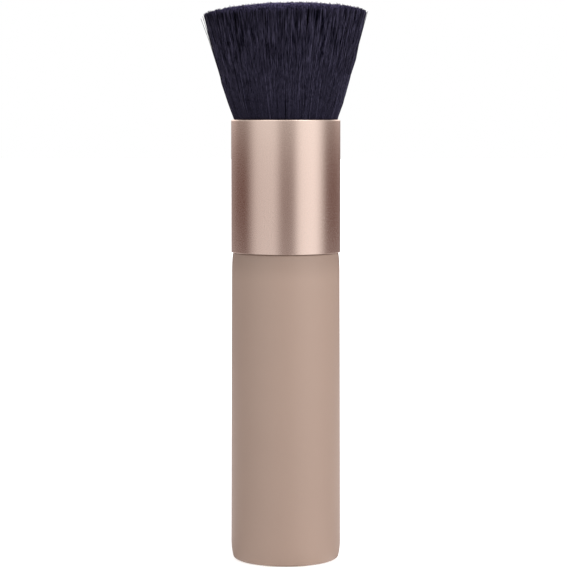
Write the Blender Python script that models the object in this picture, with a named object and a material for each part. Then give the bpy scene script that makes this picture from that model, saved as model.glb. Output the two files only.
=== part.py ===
"""Flat-top brush for buffing in self-tan mousse.

The brush stands on the foot of its handle, with +Z up through the tuft and the origin at the
centre of the foot. The handle is a hollow moulding with a steel balance weight in a socket on
its floor. A ribbed plug closes its neck. The aluminium ferrule slides over the neck, and the
tuft is potted in a cup inside the ferrule.
"""

import math
import random

import bmesh
import bpy
from mathutils import Matrix

MM = 0.001

# Fits and facets
SEAT_GAP = 0.3 * MM
WELD_DISTANCE = 0.001 * MM
OUTER_SEGMENTS = 64
INNER_SEGMENTS = 48
WEIGHT_SEGMENTS = 32
SHARP_ANGLE = math.radians(30)

# Ferrule: a deep-drawn sleeve with rounded rims
FERRULE_RADIUS = 14.0 * MM
FERRULE_WALL = 0.6 * MM
FERRULE_LENGTH = 34.0 * MM
RIM_ROUND_SHARE = 0.37
RIM_STEPS = 2

# Handle: a deep moulded cup with a tucked foot, a soft shoulder and a neck
FERRULE_PROUD = 0.13 * MM
HANDLE_DRAFT = 0.23 * MM
HANDLE_LENGTH = 79.3 * MM
SHOULDER_LENGTH = 5.5 * MM
SHOULDER_INSET = 0.4 * MM
SHOULDER_STEPS = 5
FOOT_TUCK_TOP = 5.0 * MM
FOOT_TUCK_WIDTH = 0.5 * MM
FOOT_TUCK_SWEEP = 45
FOOT_TUCK_STEPS = 4
FOOT_CORNER_WIDTH = 2.2 * MM
FOOT_CORNER_HEIGHT = 0.85 * MM
FOOT_CORNER_TURN = 7.3
FOOT_CORNER_STEPS = 5
NECK_LENGTH = 8.0 * MM
NECK_WALL = 1.9 * MM
NECK_CHAMFER = 0.4 * MM
BORE_DRAFT = 0.3 * MM
HANDLE_FLOOR = 3.0 * MM
FLOOR_FILLET = 1.2 * MM

# Glue rings: one in a groove round the neck, one in a rabbet at the foot of the cup
GLUE_GROOVE_DEPTH = 0.9 * MM
GLUE_GROOVE_HEIGHT = 2.2 * MM
RABBET_HEIGHT_SHARE = 0.65

# Balance weight, its socket and the foam rod that holds it down
WEIGHT_RADIUS = 5.0 * MM
WEIGHT_LENGTH = 40.0 * MM
WEIGHT_CHAMFER = 0.6 * MM
SOCKET_WALL = 1.4 * MM
SOCKET_HEIGHT = 10.0 * MM
FOAM_LAP = 0.9 * MM

# Neck plug: a flange on the neck's rim, a ribbed spigot in the bore and a boss for the cup
PLUG_FLANGE = 1.5 * MM
PLUG_SPIGOT_LENGTH = 9.0 * MM
PLUG_WALL = 1.8 * MM
PLUG_RIB_HEIGHT = 0.4 * MM
PLUG_RIBS = 8
PLUG_BOSS_RADIUS = 4.0 * MM

# Tuft cup and the resin under the tuft
CUP_SETBACK = 8.2 * MM
CUP_WALL = 0.8 * MM
CUP_FLOOR = 2.6 * MM
RESIN_THICKNESS = 4.5 * MM

# Tuft: strands fused to the potted slice of their roots, cut to a low dome
SLICE_THICKNESS = 4.0 * MM
SLICE_MARGIN = 0.15 * MM
BINDING_THICKNESS = 0.5 * MM
BINDING_HEIGHT = 3.0 * MM
HEAD_RADIUS = 20.9 * MM
HEAD_RISE = 30.1 * MM
DOME_DROP = 1.85 * MM
EDGE_DROP = 1.0 * MM
EDGE_POWER = 8
STRAND_RINGS = 10
STRANDS_ADDED_A_RING = 6
STRAND_SIDES = 4
STRAND_RADIUS_SHARE = 0.44
TIP_SCATTER = 0.25 * MM
SCATTER_SEED = 7

# Radii that more than one piece follows, worked out from the sizes above
FERRULE_BORE = FERRULE_RADIUS - FERRULE_WALL
HANDLE_TOP_RADIUS = FERRULE_RADIUS - FERRULE_PROUD
HANDLE_FOOT_RADIUS = HANDLE_TOP_RADIUS + HANDLE_DRAFT
NECK_RADIUS = FERRULE_BORE - SEAT_GAP
NECK_BORE = NECK_RADIUS - NECK_WALL
GROOVE_RADIUS = NECK_RADIUS - GLUE_GROOVE_DEPTH
SPIGOT_RADIUS = NECK_BORE - SEAT_GAP - PLUG_RIB_HEIGHT
SPIGOT_BORE = SPIGOT_RADIUS - PLUG_WALL
CUP_BORE = NECK_RADIUS - CUP_WALL
BINDING_RADIUS = CUP_BORE - SEAT_GAP
BINDING_BORE = BINDING_RADIUS - BINDING_THICKNESS
SLICE_RADIUS = BINDING_BORE - SEAT_GAP

# Heights that more than one piece follows, from the foot up
WEIGHT_FOOT = HANDLE_FLOOR + SEAT_GAP
WEIGHT_TOP = WEIGHT_FOOT + WEIGHT_LENGTH
FERRULE_FOOT = HANDLE_LENGTH + SEAT_GAP
NECK_TOP = HANDLE_LENGTH + NECK_LENGTH
GROOVE_FOOT = HANDLE_LENGTH + (NECK_LENGTH - GLUE_GROOVE_HEIGHT) / 2
GROOVE_TOP = GROOVE_FOOT + GLUE_GROOVE_HEIGHT
FLANGE_FOOT = NECK_TOP + SEAT_GAP
FLANGE_TOP = FLANGE_FOOT + PLUG_FLANGE
SPIGOT_FOOT = FLANGE_FOOT - PLUG_SPIGOT_LENGTH
CUP_FOOT = FLANGE_TOP + SEAT_GAP
RABBET_TOP = CUP_FOOT + CUP_FLOOR * RABBET_HEIGHT_SHARE
CUP_FLOOR_TOP = CUP_FOOT + CUP_FLOOR
RESIN_FOOT = CUP_FLOOR_TOP + SEAT_GAP
RESIN_TOP = RESIN_FOOT + RESIN_THICKNESS
SLICE_FOOT = RESIN_TOP + SEAT_GAP
SLICE_TOP = SLICE_FOOT + SLICE_THICKNESS
FERRULE_LIP = FERRULE_FOOT + FERRULE_LENGTH
CUP_TOP = FERRULE_LIP - CUP_SETBACK
DOME_TOP = FERRULE_LIP + HEAD_RISE


def finish(name, colour, roughness, metallic=0.0):
    """A material with the colour, roughness and metallic value of one finish."""
    material = bpy.data.materials.new(name)
    material.use_nodes = True
    shader = material.node_tree.nodes["Principled BSDF"]
    shader.inputs["Base Color"].default_value = (*colour, 1.0)
    shader.inputs["Roughness"].default_value = roughness
    shader.inputs["Metallic"].default_value = metallic
    material.diffuse_color = (*colour, 1.0)
    return material


def arc(centre, reach, start, end, steps):
    """(radius, height) points of an elliptical arc, from a start to an end angle in degrees."""
    points = []
    for step in range(steps + 1):
        angle = math.radians(start + (end - start) * step / steps)
        points.append((centre[0] + reach[0] * math.cos(angle), centre[1] + reach[1] * math.sin(angle)))
    return points


def band(bore, radius, foot, top):
    """Outline of a plain ring or, with a bore of zero, of a disc."""
    return [(bore, foot), (radius, foot), (radius, top), (bore, top)]


def spun(outline, segments):
    """A bmesh of an outline of (radius, height) points, turned about Z.

    The outline starts and ends on the axis, or else it is closed into a ring.
    """
    bm = bmesh.new()
    points = [bm.verts.new((radius, 0.0, height)) for radius, height in outline]
    edges = [bm.edges.new(pair) for pair in zip(points, points[1:])]
    if outline[0][0] > 0.0:
        edges.append(bm.edges.new((points[-1], points[0])))
    bmesh.ops.spin(
        bm,
        geom=points + edges,
        cent=(0.0, 0.0, 0.0),
        axis=(0.0, 0.0, 1.0),
        angle=math.tau,
        steps=segments,
        use_merge=True,
    )
    bmesh.ops.remove_doubles(bm, verts=bm.verts[:], dist=WELD_DISTANCE)
    return bm


def placed(name, bm, material):
    """Turns a closed bmesh into a named object of one material, with its faces pointing out."""
    bmesh.ops.recalc_face_normals(bm, faces=bm.faces[:])
    mesh = bpy.data.meshes.new(name)
    bm.to_mesh(mesh)
    bm.free()
    mesh.materials.append(material)
    mesh.shade_smooth()
    mesh.set_sharp_from_angle(angle=SHARP_ANGLE)
    item = bpy.data.objects.new(name, mesh)
    bpy.context.scene.collection.objects.link(item)
    return item


def foot_outline():
    """The foot's outline from the axis up: a flat, a small corner and the long tuck above it.

    The corner starts its turn where the tuck ends, so that the two meet without an edge.
    """
    sweep = math.radians(FOOT_TUCK_SWEEP)
    turn = math.radians(FOOT_CORNER_TURN)
    tuck_reach = (
        FOOT_TUCK_WIDTH / (1 - math.cos(sweep)),
        (FOOT_TUCK_TOP - FOOT_CORNER_HEIGHT) / math.sin(sweep),
    )
    corner_reach = (FOOT_CORNER_WIDTH, FOOT_CORNER_HEIGHT / (1 - math.sin(turn)))
    flat = HANDLE_FOOT_RADIUS - FOOT_TUCK_WIDTH - FOOT_CORNER_WIDTH * math.cos(turn)
    corner = (flat, corner_reach[1])
    tuck = (HANDLE_FOOT_RADIUS - tuck_reach[0], FOOT_TUCK_TOP)
    outline = [(0.0, 0.0)]
    outline += arc(corner, corner_reach, -90, -FOOT_CORNER_TURN, FOOT_CORNER_STEPS)
    outline += arc(tuck, tuck_reach, -FOOT_TUCK_SWEEP, 0, FOOT_TUCK_STEPS)
    return outline


def handle_shell(material):
    """The moulded handle, open at its neck, with the socket for the weight on its floor."""
    shoulder = (HANDLE_TOP_RADIUS - SHOULDER_INSET, HANDLE_LENGTH - SHOULDER_LENGTH)
    floor_radius = NECK_BORE - BORE_DRAFT
    socket_bore = WEIGHT_RADIUS + SEAT_GAP
    socket_radius = socket_bore + SOCKET_WALL
    socket_top = HANDLE_FLOOR + SOCKET_HEIGHT
    outline = foot_outline()
    outline += arc(shoulder, (SHOULDER_INSET, SHOULDER_LENGTH), 0, 90, SHOULDER_STEPS)
    outline += [
        (NECK_RADIUS, HANDLE_LENGTH),
        (NECK_RADIUS, GROOVE_FOOT),
        (GROOVE_RADIUS, GROOVE_FOOT),
        (GROOVE_RADIUS, GROOVE_TOP),
        (NECK_RADIUS, GROOVE_TOP),
        (NECK_RADIUS, NECK_TOP - NECK_CHAMFER),
        (NECK_RADIUS - NECK_CHAMFER, NECK_TOP),
        (NECK_BORE, NECK_TOP),
        (floor_radius, HANDLE_FLOOR + FLOOR_FILLET),
        (floor_radius - FLOOR_FILLET, HANDLE_FLOOR),
        (socket_radius, HANDLE_FLOOR),
        (socket_radius, socket_top),
        (socket_bore, socket_top),
        (socket_bore, HANDLE_FLOOR),
        (0.0, HANDLE_FLOOR),
    ]
    return placed("handle_shell", spun(outline, OUTER_SEGMENTS), material)


def balance_weight(material):
    """The steel slug that stands in the handle's socket and keeps the brush upright."""
    outline = [
        (0.0, WEIGHT_FOOT),
        (WEIGHT_RADIUS - WEIGHT_CHAMFER, WEIGHT_FOOT),
        (WEIGHT_RADIUS, WEIGHT_FOOT + WEIGHT_CHAMFER),
        (WEIGHT_RADIUS, WEIGHT_TOP - WEIGHT_CHAMFER),
        (WEIGHT_RADIUS - WEIGHT_CHAMFER, WEIGHT_TOP),
        (0.0, WEIGHT_TOP),
    ]
    return placed("balance_weight", spun(outline, WEIGHT_SEGMENTS), material)


def foam_rod(material):
    """The foam between the weight and the rim of the plug's spigot, which stops a rattle."""
    outline = band(0.0, SPIGOT_BORE + FOAM_LAP, WEIGHT_TOP + SEAT_GAP, SPIGOT_FOOT - SEAT_GAP)
    return placed("foam_rod", spun(outline, WEIGHT_SEGMENTS), material)


def neck_plug(material):
    """The plug in the handle's neck. Its ribs grip the bore, and its boss centres the tuft cup."""
    outline = [
        (0.0, FLANGE_FOOT),
        (SPIGOT_BORE, FLANGE_FOOT),
        (SPIGOT_BORE, SPIGOT_FOOT),
        (SPIGOT_RADIUS, SPIGOT_FOOT),
        (SPIGOT_RADIUS, FLANGE_FOOT),
        (NECK_RADIUS, FLANGE_FOOT),
        (NECK_RADIUS, FLANGE_TOP),
        (PLUG_BOSS_RADIUS, FLANGE_TOP),
        (PLUG_BOSS_RADIUS, CUP_FLOOR_TOP),
        (0.0, CUP_FLOOR_TOP),
    ]
    bm = spun(outline, INNER_SEGMENTS)
    half_height = (SPIGOT_FOOT + FLANGE_FOOT) / 2
    half_radius = (SPIGOT_BORE + SPIGOT_RADIUS) / 2
    facets = []
    for face in bm.faces:
        centre = face.calc_center_median()
        if abs(centre.z - half_height) < WELD_DISTANCE and centre.xy.length > half_radius:
            facets.append((math.atan2(centre.y, centre.x), face))
    facets.sort(key=lambda facet: facet[0])
    for bearing, face in facets[:: INNER_SEGMENTS // PLUG_RIBS]:
        outward = (math.cos(bearing) * PLUG_RIB_HEIGHT, math.sin(bearing) * PLUG_RIB_HEIGHT, 0.0)
        rib = bmesh.ops.extrude_discrete_faces(bm, faces=[face])["faces"][0]
        bmesh.ops.translate(bm, verts=rib.verts[:], vec=outward)
    return placed("neck_plug", bm, material)


def glue_ring(name, foot, top, material):
    """A ring of adhesive that fills its recess out to the inside of the ferrule."""
    outline = band(GROOVE_RADIUS + SEAT_GAP, NECK_RADIUS, foot, top)
    return placed(name, spun(outline, INNER_SEGMENTS), material)


def ferrule(material):
    """The aluminium sleeve, which hides the neck and stands just proud of the handle."""
    rim = FERRULE_WALL * RIM_ROUND_SHARE
    inner = FERRULE_BORE + rim
    outer = FERRULE_RADIUS - rim
    foot = FERRULE_FOOT + rim
    lip = FERRULE_LIP - rim
    outline = arc((inner, foot), (rim, rim), 180, 270, RIM_STEPS)
    outline += arc((outer, foot), (rim, rim), 270, 360, RIM_STEPS)
    outline += arc((outer, lip), (rim, rim), 0, 90, RIM_STEPS)
    outline += arc((inner, lip), (rim, rim), 90, 180, RIM_STEPS)
    return placed("ferrule", spun(outline, OUTER_SEGMENTS), material)


def tuft_cup(material):
    """The moulded cup round the potted roots, with the plug's boss in the hole in its floor."""
    hole_radius = PLUG_BOSS_RADIUS + SEAT_GAP
    outline = [
        (hole_radius, CUP_FOOT),
        (GROOVE_RADIUS, CUP_FOOT),
        (GROOVE_RADIUS, RABBET_TOP),
        (NECK_RADIUS, RABBET_TOP),
        (NECK_RADIUS, CUP_TOP),
        (CUP_BORE, CUP_TOP),
        (CUP_BORE, CUP_FLOOR_TOP),
        (hole_radius, CUP_FLOOR_TOP),
    ]
    return placed("tuft_cup", spun(outline, INNER_SEGMENTS), material)


def potting_resin(material):
    """The cast disc of resin that bonds the roots of the tuft to the cup."""
    outline = band(0.0, CUP_BORE - SEAT_GAP, RESIN_FOOT, RESIN_TOP)
    return placed("potting_resin", spun(outline, INNER_SEGMENTS), material)


def root_binding(material):
    """The band that ties the roots together, halfway up the potted slice."""
    foot = SLICE_FOOT + (SLICE_THICKNESS - BINDING_HEIGHT) / 2
    outline = band(BINDING_BORE, BINDING_RADIUS, foot, foot + BINDING_HEIGHT)
    return placed("root_binding", spun(outline, INNER_SEGMENTS), material)


def tip_height(radius):
    """Height of the flat-top cut at a radius: a low dome that turns down near its edge."""
    reach = radius / HEAD_RADIUS
    return DOME_TOP - DOME_DROP * reach**2 - EDGE_DROP * reach**EDGE_POWER


def draw_strands(bm, scatter):
    """Draws each strand's outline on top of the slice, ring by ring.

    A strand's radius follows the pitch of the rings, so that no two strands meet.
    """
    pitch = (SLICE_RADIUS - SLICE_MARGIN) / (STRAND_RINGS + STRAND_RADIUS_SHARE)
    for ring in range(STRAND_RINGS + 1):
        first = scatter.uniform(0.0, math.tau)
        count = max(1, ring * STRANDS_ADDED_A_RING)
        for place in range(count):
            swing = Matrix.Rotation(first + math.tau * place / count, 4, "Z")
            shift = Matrix.Translation((ring * pitch, 0.0, SLICE_TOP))
            twist = Matrix.Rotation(scatter.uniform(0.0, math.tau), 4, "Z")
            bmesh.ops.create_circle(
                bm,
                radius=pitch * STRAND_RADIUS_SHARE,
                segments=STRAND_SIDES,
                matrix=swing @ shift @ twist,
            )


def extruded(bm, edges, widening):
    """Extrudes edges, widens their copies about Z, and returns the copies' corners and edges."""
    grown = bmesh.ops.extrude_edge_only(bm, edges=edges)["geom"]
    corners = [item for item in grown if isinstance(item, bmesh.types.BMVert)]
    bmesh.ops.scale(bm, verts=corners, vec=(widening, widening, 1.0))
    return corners, [item for item in grown if isinstance(item, bmesh.types.BMEdge)]


def bristle_tuft(material):
    """The tuft: strands that fan out past the ferrule's lip, fused to their potted slice."""
    scatter = random.Random(SCATTER_SEED)
    bm = bmesh.new()
    bmesh.ops.create_circle(
        bm,
        radius=SLICE_RADIUS,
        segments=INNER_SEGMENTS,
        matrix=Matrix.Translation((0.0, 0.0, SLICE_TOP)),
    )
    rim = bm.edges[:]
    draw_strands(bm, scatter)
    outlines = bm.edges[len(rim) :]
    bmesh.ops.triangle_fill(bm, use_beauty=True, edges=bm.edges[:], normal=(0.0, 0.0, 1.0))
    corners, rim = extruded(bm, rim, 1.0)
    for corner in corners:
        corner.co.z = SLICE_FOOT
    bmesh.ops.holes_fill(bm, edges=rim, sides=INNER_SEGMENTS)
    corners, at_lip = extruded(bm, outlines, NECK_RADIUS / (SLICE_RADIUS - SLICE_MARGIN))
    for corner in corners:
        corner.co.z = FERRULE_LIP
    at_tip = extruded(bm, at_lip, HEAD_RADIUS / NECK_RADIUS)[1]
    for tip in bmesh.ops.holes_fill(bm, edges=at_tip, sides=STRAND_SIDES)["faces"]:
        lift = scatter.uniform(-TIP_SCATTER, TIP_SCATTER)
        for corner in tip.verts:
            corner.co.z = tip_height(corner.co.xy.length) + lift
    return placed("bristle_tuft", bm, material)


def brush():
    """Builds every piece of the brush, from the foot of the handle up to the tuft."""
    lacquer = finish("taupe_lacquer", (0.42, 0.31, 0.25), 0.45)
    steel = finish("weight_steel", (0.42, 0.42, 0.43), 0.4, 1.0)
    foam = finish("grey_foam", (0.30, 0.30, 0.31), 0.95)
    moulding = finish("inner_moulding", (0.62, 0.60, 0.56), 0.55)
    adhesive = finish("clear_adhesive", (0.78, 0.70, 0.52), 0.25)
    aluminium = finish("rose_gold_aluminium", (0.74, 0.54, 0.45), 0.28, 1.0)
    thread = finish("binding_thread", (0.70, 0.68, 0.62), 0.8)
    filament = finish("black_filament", (0.016, 0.014, 0.026), 0.5)

    handle_shell(lacquer)
    balance_weight(steel)
    foam_rod(foam)
    neck_plug(moulding)
    glue_ring("neck_glue_ring", GROOVE_FOOT + SEAT_GAP, GROOVE_TOP - SEAT_GAP, adhesive)
    glue_ring("cup_glue_ring", CUP_FOOT, RABBET_TOP - SEAT_GAP, adhesive)
    ferrule(aluminium)
    tuft_cup(moulding)
    potting_resin(adhesive)
    root_binding(thread)
    bristle_tuft(filament)


for leftover in list(bpy.data.objects):
    bpy.data.objects.remove(leftover)
brush()
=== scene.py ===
"""Looks of the self-tan brush: a dense dark tuft in a rose-gold ferrule on a taupe handle.

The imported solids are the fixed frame. The handle, the ferrule and the tuft are modelled again in
finer shapes at the same places, and the pieces inside keep their solids and get their finishes.
Lengths are in metres, written as millimetres times MM. Bearings are in degrees round +Z. Those of
the lights count from the camera's side of the brush towards the camera's right, and those of the
hairs count from +X, which is the camera's right, so that 180 is its left.
"""

import logging
import math
from collections.abc import Mapping
from dataclasses import dataclass
from enum import Enum
from functools import cache

import bmesh
import bpy
import numpy as np
from bmesh.types import BMEdge, BMesh, BMVert
from bpy.types import Material, Mesh, Node, Object, ShaderNodeTree
from mathutils import Matrix, Vector
from mathutils.kdtree import KDTree


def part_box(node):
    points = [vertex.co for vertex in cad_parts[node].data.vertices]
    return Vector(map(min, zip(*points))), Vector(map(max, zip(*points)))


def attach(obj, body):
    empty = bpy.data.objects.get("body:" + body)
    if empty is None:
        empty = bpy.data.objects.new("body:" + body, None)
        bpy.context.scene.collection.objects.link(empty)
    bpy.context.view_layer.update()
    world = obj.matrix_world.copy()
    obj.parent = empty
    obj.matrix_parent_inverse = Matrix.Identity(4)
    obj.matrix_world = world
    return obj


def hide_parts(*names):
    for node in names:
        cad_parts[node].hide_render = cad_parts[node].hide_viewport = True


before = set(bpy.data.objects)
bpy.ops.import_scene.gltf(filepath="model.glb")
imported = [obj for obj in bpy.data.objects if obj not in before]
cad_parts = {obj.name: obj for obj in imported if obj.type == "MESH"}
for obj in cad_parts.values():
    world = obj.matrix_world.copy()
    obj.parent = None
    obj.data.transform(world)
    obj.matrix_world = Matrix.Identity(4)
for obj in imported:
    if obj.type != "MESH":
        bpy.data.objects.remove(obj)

MM = 0.001
WELD_DISTANCE = 0.0005 * MM
SHARP_ANGLE = 35.0
GOLDEN_HALF_TURNS = 3.0 - math.sqrt(5.0)
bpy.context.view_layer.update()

Colour = tuple[float, float, float]
Stretch = tuple[float, float, float]
Span = tuple[float, float]
Outline = list[tuple[float, float]]
Socket = bpy.types.NodeSocket

log = logging.getLogger("brush")


class Slot(Enum):
    """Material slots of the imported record."""

    HANDLE_LACQUER = "handle_lacquer"
    FERRULE_METAL = "ferrule_metal"
    FILAMENT = "filament"
    INNER_MOULDING = "inner_moulding"
    ADHESIVE = "adhesive"
    BINDING = "binding"
    FOAM = "foam"
    WEIGHT_STEEL = "weight_steel"


# Shader wiring


class Wiring:
    """Adds nodes to one shader tree. Each input takes a socket that feeds it, or its own value."""

    def __init__(self, tree: ShaderNodeTree) -> None:
        """Takes over a tree and empties it."""
        self.tree = tree
        self.tree.nodes.clear()

    def node(
        self, kind: str, inputs: Mapping[str | int, object] | None = None, **settings: object
    ) -> Node:
        """Adds one node.

        Args:
            kind: Blender's name of the node's type.
            inputs: what each input takes. A colour has 3 numbers here, and full alpha is added.
            settings: the node's other properties.

        Returns:
            The new node.
        """
        made = self.tree.nodes.new(kind)
        for name, value in settings.items():
            setattr(made, name, value)
        for key, value in (inputs or {}).items():
            socket = made.inputs[key]
            if isinstance(value, Socket):
                self.tree.links.new(value, socket)
            else:
                socket.default_value = (*value, 1.0) if socket.type == "RGBA" else value
        return made

    def math(self, operation: str, *values: object, clamp: bool = False) -> Socket:
        """Works out a number from others."""
        inputs = dict(enumerate(values))
        return self.node("ShaderNodeMath", inputs, operation=operation, use_clamp=clamp).outputs[0]

    def vector(self, operation: str, *values: object, **named: object) -> Socket:
        """Works out a vector or a colour from others."""
        inputs = dict(enumerate(values)) | named
        return self.node("ShaderNodeVectorMath", inputs, operation=operation).outputs[0]

    def mapped(
        self, value: Socket, start: object = 0.0, end: object = 1.0,
        low: object = 0.0, high: object = 1.0, smooth: bool = False,
    ) -> Socket:
        """Maps a number from start..end to low..high and holds it there.

        Args:
            value: the number.
            start: the number that gives low.
            end: the number that gives high.
            low: the first result.
            high: the last result.
            smooth: whether the change eases in and out.

        Returns:
            The socket of the result.
        """
        inputs = {"Value": value, "From Min": start, "From Max": end, "To Min": low, "To Max": high}
        kind = "SMOOTHSTEP" if smooth else "LINEAR"
        return self.node("ShaderNodeMapRange", inputs, interpolation_type=kind).outputs["Result"]

    def ranged(self, mask: Socket, low: float, high: float) -> Socket:
        """Maps a mask from 0..1 to low..high."""
        return self.mapped(mask, low=low, high=high)

    def blended(self, mask: Socket, first: object, second: object) -> Socket:
        """Mixes two colours by a mask, through the colour sockets of a Mix node."""
        return self.node("ShaderNodeMix", {0: mask, 6: first, 7: second}, data_type="RGBA").outputs[2]

    def noise(self, place: Socket, scale: object, detail: float, roughness: float = 0.5) -> Socket:
        """Reads fractal noise at a place."""
        inputs = {"Vector": place, "Scale": scale, "Detail": detail, "Roughness": roughness}
        return self.node("ShaderNodeTexNoise", inputs).outputs["Fac"]

    def place(self) -> Socket:
        """The place on the object."""
        return self.node("ShaderNodeTexCoord").outputs["Object"]

    def axes(self) -> Mapping[str, Socket]:
        """The X, Y and Z of the place on the object."""
        return self.node("ShaderNodeSeparateXYZ", {0: self.place()}).outputs


def new_group(
    name: str, inputs: Mapping[str, object], output: str, kind: str
) -> tuple[Wiring, Mapping[str, Socket]]:
    """Starts a shader node group with named sockets.

    Args:
        name: the group's name.
        inputs: for each input, its default: a number, a vector of 3 or a colour of 4.
        output: name of its one output.
        kind: socket type of the output.

    Returns:
        The wiring of the group's tree, and the sockets that bring the inputs in.
    """
    kinds = {1: "NodeSocketFloat", 3: "NodeSocketVector", 4: "NodeSocketColor"}
    tree = bpy.data.node_groups.new(name, "ShaderNodeTree")
    for label, default in inputs.items():
        size = len(default) if isinstance(default, tuple) else 1
        made = tree.interface.new_socket(label, in_out="INPUT", socket_type=kinds[size])
        made.default_value = default
    tree.interface.new_socket(output, in_out="OUTPUT", socket_type=kind)
    wiring = Wiring(tree)
    return wiring, wiring.node("NodeGroupInput").outputs


@cache
def grain_group() -> ShaderNodeTree:
    """The group that gives the fine grain of a surface as a mask.

    Returns:
        A tree with inputs Scale (cells a metre) and Squash, and the output Mask.
    """
    inputs = {"Scale": 1000.0, "Squash": (1.0, 1.0, 1.0)}
    wiring, given = new_group("surface_grain", inputs, "Mask", "NodeSocketFloat")
    squashed = wiring.vector("MULTIPLY", wiring.place(), given["Squash"])
    noise = wiring.noise(squashed, given["Scale"], detail=3.0)
    wiring.node("NodeGroupOutput", {"Mask": wiring.mapped(noise, start=0.3, end=0.7)})
    return wiring.tree


@cache
def mottle_group() -> ShaderNodeTree:
    """The group that varies a colour softly over a surface.

    Returns:
        A tree with inputs Colour, Scale (cells a metre) and Depth, and the output Colour.
    """
    inputs = {"Colour": (0.5, 0.5, 0.5, 1.0), "Scale": 60.0, "Depth": 0.05}
    wiring, given = new_group("soft_mottle", inputs, "Colour", "NodeSocketColor")
    noise = wiring.noise(wiring.place(), given["Scale"], detail=4.0)
    centred = wiring.mapped(noise, start=0.25, end=0.75, low=-1.0)
    gain = wiring.math("MULTIPLY_ADD", centred, given["Depth"], 1.0)
    wiring.node("NodeGroupOutput", {"Colour": wiring.vector("SCALE", given["Colour"], Scale=gain)})
    return wiring.tree


class Surface(Wiring):
    """The wiring of a new material."""

    def __init__(self, name: str) -> None:
        """Starts an empty material."""
        self.material = bpy.data.materials.new(name)
        self.material.use_nodes = True
        super().__init__(self.material.node_tree)

    def show(self, shader: Socket) -> Material:
        """Makes a shader the material's surface and returns the material."""
        self.node("ShaderNodeOutputMaterial", {"Surface": shader})
        return self.material


class Dressing(Surface):
    """A material under construction, with its Principled BSDF."""

    def __init__(self, name: str, values: Mapping[str, float]) -> None:
        """Starts a material with even values on its shader's sockets."""
        super().__init__(name)
        self.shader = self.node("ShaderNodeBsdfPrincipled", values)
        self.show(self.shader.outputs["BSDF"])

    def feed(self, name: str, source: Socket) -> None:
        """Links a source to a socket of the shader."""
        self.tree.links.new(source, self.shader.inputs[name])

    def grouped(self, group: ShaderNodeTree, **inputs: object) -> Socket:
        """Places a group and returns its output."""
        return self.node("ShaderNodeGroup", inputs, node_tree=group).outputs[0]


# Finishes


def dimmed(colour: Colour, share: float) -> Colour:
    """A share of a colour's light."""
    red, green, blue = colour
    return red * share, green * share, blue * share


@dataclass(frozen=True, kw_only=True)
class Finish:
    """What every finish has: its slot in the record, its material and the material's even values."""

    name: str
    slot: Slot
    roughness: float = 0.5
    metallic: float = 0.0
    specular: float = 0.5
    coat: float = 0.0
    coat_roughness: float = 0.03
    sheen: float = 0.0

    @cache
    def material(self) -> Material:
        """Makes the material, which equal finishes share.

        Returns:
            The material, dressed.
        """
        values = {
            "Roughness": self.roughness,
            "Metallic": self.metallic,
            "Specular IOR Level": self.specular,
            "Coat Weight": self.coat,
            "Coat Roughness": self.coat_roughness,
            "Sheen Weight": self.sheen,
        }
        made = Dressing(self.name, values)
        self.dress(made)
        return made.material

    def dress(self, made: Dressing) -> None:
        """Wires what changes over the surface, in each finish's own way."""


@dataclass(frozen=True, kw_only=True)
class PatternedFinish(Finish):
    """A finish with a pattern in its relief and, where they are given, clouds in its colour.

    The pattern is depth high, and the clouds are a pair: their scale and their depth as a share.
    Scales are cells a metre. A hollow colour shows between the pattern's ridges, and a
    roughness_span goes from its hollows to its ridges. In the thread's grooves and the foam's
    cells, the hollow colour is painted shade.
    """

    colour: Colour
    scale: float
    depth: float
    squash: Stretch = (1.0, 1.0, 1.0)
    hollow: Colour | None = None
    clouds: Span | None = None
    roughness_span: Span | None = None

    def pattern(self, made: Dressing) -> Socket:
        """The pattern as a mask, 1 on its ridges."""
        return made.grouped(grain_group(), Scale=self.scale, Squash=self.squash)

    def tone(self, made: Dressing, pattern: Socket) -> object:
        """The colour without its clouds, or its socket where it changes over the surface."""
        return made.blended(pattern, self.hollow, self.colour) if self.hollow else self.colour

    def dress(self, made: Dressing) -> None:
        """Wires the colour, the roughness and the relief.

        Args:
            made: the material under construction.
        """
        pattern = self.pattern(made)
        tone = self.tone(made, pattern)
        if self.clouds:
            scale, depth = self.clouds
            tone = made.grouped(mottle_group(), Colour=tone, Scale=scale, Depth=depth)
        made.feed("Base Color", tone)
        if self.roughness_span:
            made.feed("Roughness", made.ranged(pattern, *self.roughness_span))
        bump = made.node("ShaderNodeBump", {"Height": pattern, "Distance": self.depth})
        made.feed("Normal", bump.outputs["Normal"])


@dataclass(frozen=True)
class SatinLacquer(PatternedFinish):
    """Smooth satin lacquer over a moulding, with the faint peel of a sprayed coat.

    Towards the ferrule's seat its colour is darkened as painted shade under the ferrule.
    """

    name: str = "taupe_satin_lacquer"
    slot: Slot = Slot.HANDLE_LACQUER
    colour: Colour = (0.43, 0.305, 0.246)
    scale: float = 1500.0
    depth: float = 0.0012 * MM
    clouds: Span = (45.0, 0.018)
    roughness_span: Span = (0.41, 0.47)
    # painted shade: the share of the colour left at the ferrule's seat, for the shade under the
    # ferrule
    painted_seat_shade: float = 0.82
    seat_reach: float = 7.5 * MM

    def tone(self, made: Dressing, pattern: Socket) -> Socket:
        """Darkens the colour towards the ferrule's seat, as painted shade under the ferrule.

        Args:
            made: the material under construction.
            pattern: the peel, which the colour doesn't follow.

        Returns:
            The socket of the colour.
        """
        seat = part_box("ferrule")[0].z
        # painted shade: the colour darkens smoothly towards the ferrule's seat
        near = made.mapped(made.axes()["Z"], seat - self.seat_reach, seat, smooth=True)
        return made.blended(near, self.colour, dimmed(self.colour, self.painted_seat_shade))


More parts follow.
